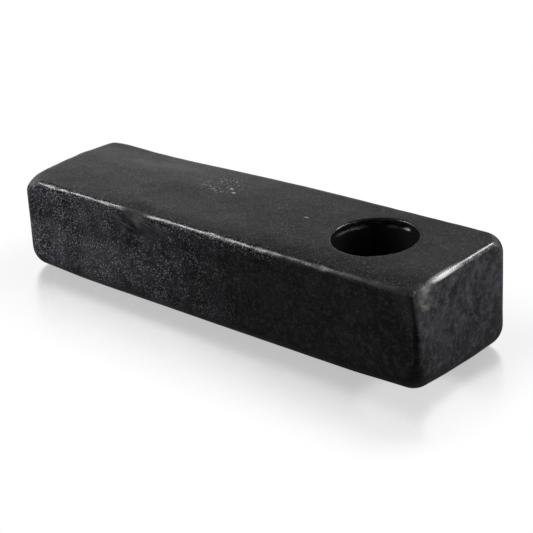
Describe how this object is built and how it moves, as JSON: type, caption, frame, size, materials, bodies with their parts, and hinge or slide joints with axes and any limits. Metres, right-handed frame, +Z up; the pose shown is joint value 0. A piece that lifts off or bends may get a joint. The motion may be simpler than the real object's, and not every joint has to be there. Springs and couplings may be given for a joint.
{
  "type": "stone hand pipe",
  "caption": "Hand-ground bar of black stone: a round bowl drilled into the top near one end, a draw channel from the other end, and a loose metal screen on the bowl's floor.",
  "frame": {"origin": "centre of the flat face that the pipe rests on", "axes": "+X along the bar, from the mouth end to the bowl end; +Z up out of the bowl; +Y across the bar"},
  "size_m": [0.079, 0.0222, 0.0172],
  "materials": {
    "stone": "ground and rubbed to a satin polish",
    "screen_mesh": "fine woven wire, slightly dulled"
  },
  "bodies": {
    "pipe": {"stone_body": "stone"},
    "screen": {"bowl_screen": "screen_mesh"}
  },
  "joints": [
    {"name": "screen_lift", "type": "slide", "parent": "pipe", "child": "screen", "axis": [0, 0, 1], "range_m": [0, 0.02]}
  ]
}
